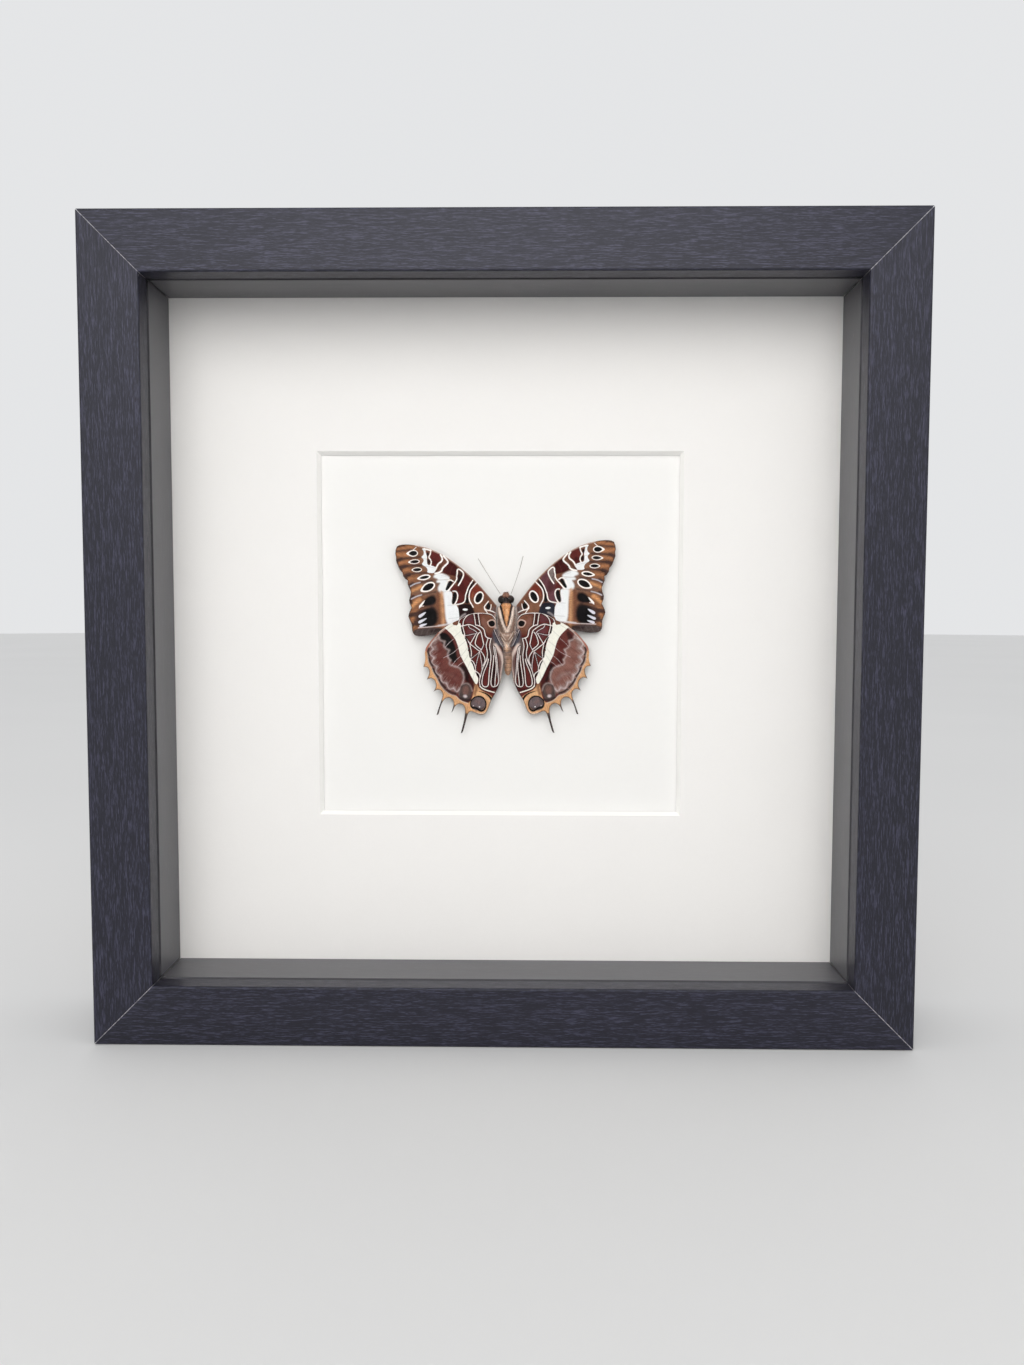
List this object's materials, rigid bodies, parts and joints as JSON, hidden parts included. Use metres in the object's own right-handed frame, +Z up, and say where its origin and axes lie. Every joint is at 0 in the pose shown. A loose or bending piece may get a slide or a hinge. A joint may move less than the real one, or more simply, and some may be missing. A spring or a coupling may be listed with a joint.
{
  "type": "framed butterfly specimen",
  "caption": "Deep square box frame with a clear pane and a window mat, holding a spread butterfly that shows its underside.",
  "frame": {"origin": "under the middle of the frame, on the surface it stands on", "axes": "+Z up, the frame's face looks along -Y, +X to the right as seen from the front"},
  "size_m": [0.25, 0.045, 0.25],
  "materials": {
    "rail_finish": "dark charcoal wood-grain foil with a violet cast, satin",
    "clear_pane": "clear, polished",
    "spacer_finish": "charcoal foil, satin",
    "mat_card": "white card, matt",
    "mount_card": "warm white card, matt",
    "backboard_fibre": "brown fibreboard, smooth",
    "fitting_steel": "plated, slightly dull",
    "pad_foam": "white foam",
    "wing_scales": "matt scales with a faint sheen, patterned",
    "body_scales": "fine scales and short hair",
    "feeler_chitin": "thin dark chitin"
  },
  "bodies": {
    "root": {"rail_top": "rail_finish", "rail_right": "rail_finish", "rail_bottom": "rail_finish", "rail_left": "rail_finish", "glazing_pane": "clear_pane", "spacer_top": "spacer_finish", "spacer_right": "spacer_finish", "spacer_bottom": "spacer_finish", "spacer_left": "spacer_finish", "mat_board": "mat_card", "mount_board": "mount_card", "backboard": "backboard_fibre", "tab_bottom_a": "fitting_steel", "tab_bottom_b": "fitting_steel", "tab_left_a": "fitting_steel", "tab_left_b": "fitting_steel", "tab_top_a": "fitting_steel", "tab_top_b": "fitting_steel", "tab_right_a": "fitting_steel", "tab_right_b": "fitting_steel", "hanger_plate": "fitting_steel", "hanger_rivet_left": "fitting_steel", "hanger_rivet_right": "fitting_steel", "specimen_pad": "pad_foam", "body": "body_scales", "antenna_left": "feeler_chitin", "antenna_right": "feeler_chitin", "forewing_left": "wing_scales", "forewing_right": "wing_scales", "hindwing_left": "wing_scales", "hindwing_right": "wing_scales"}
  },
  "joints": []
}
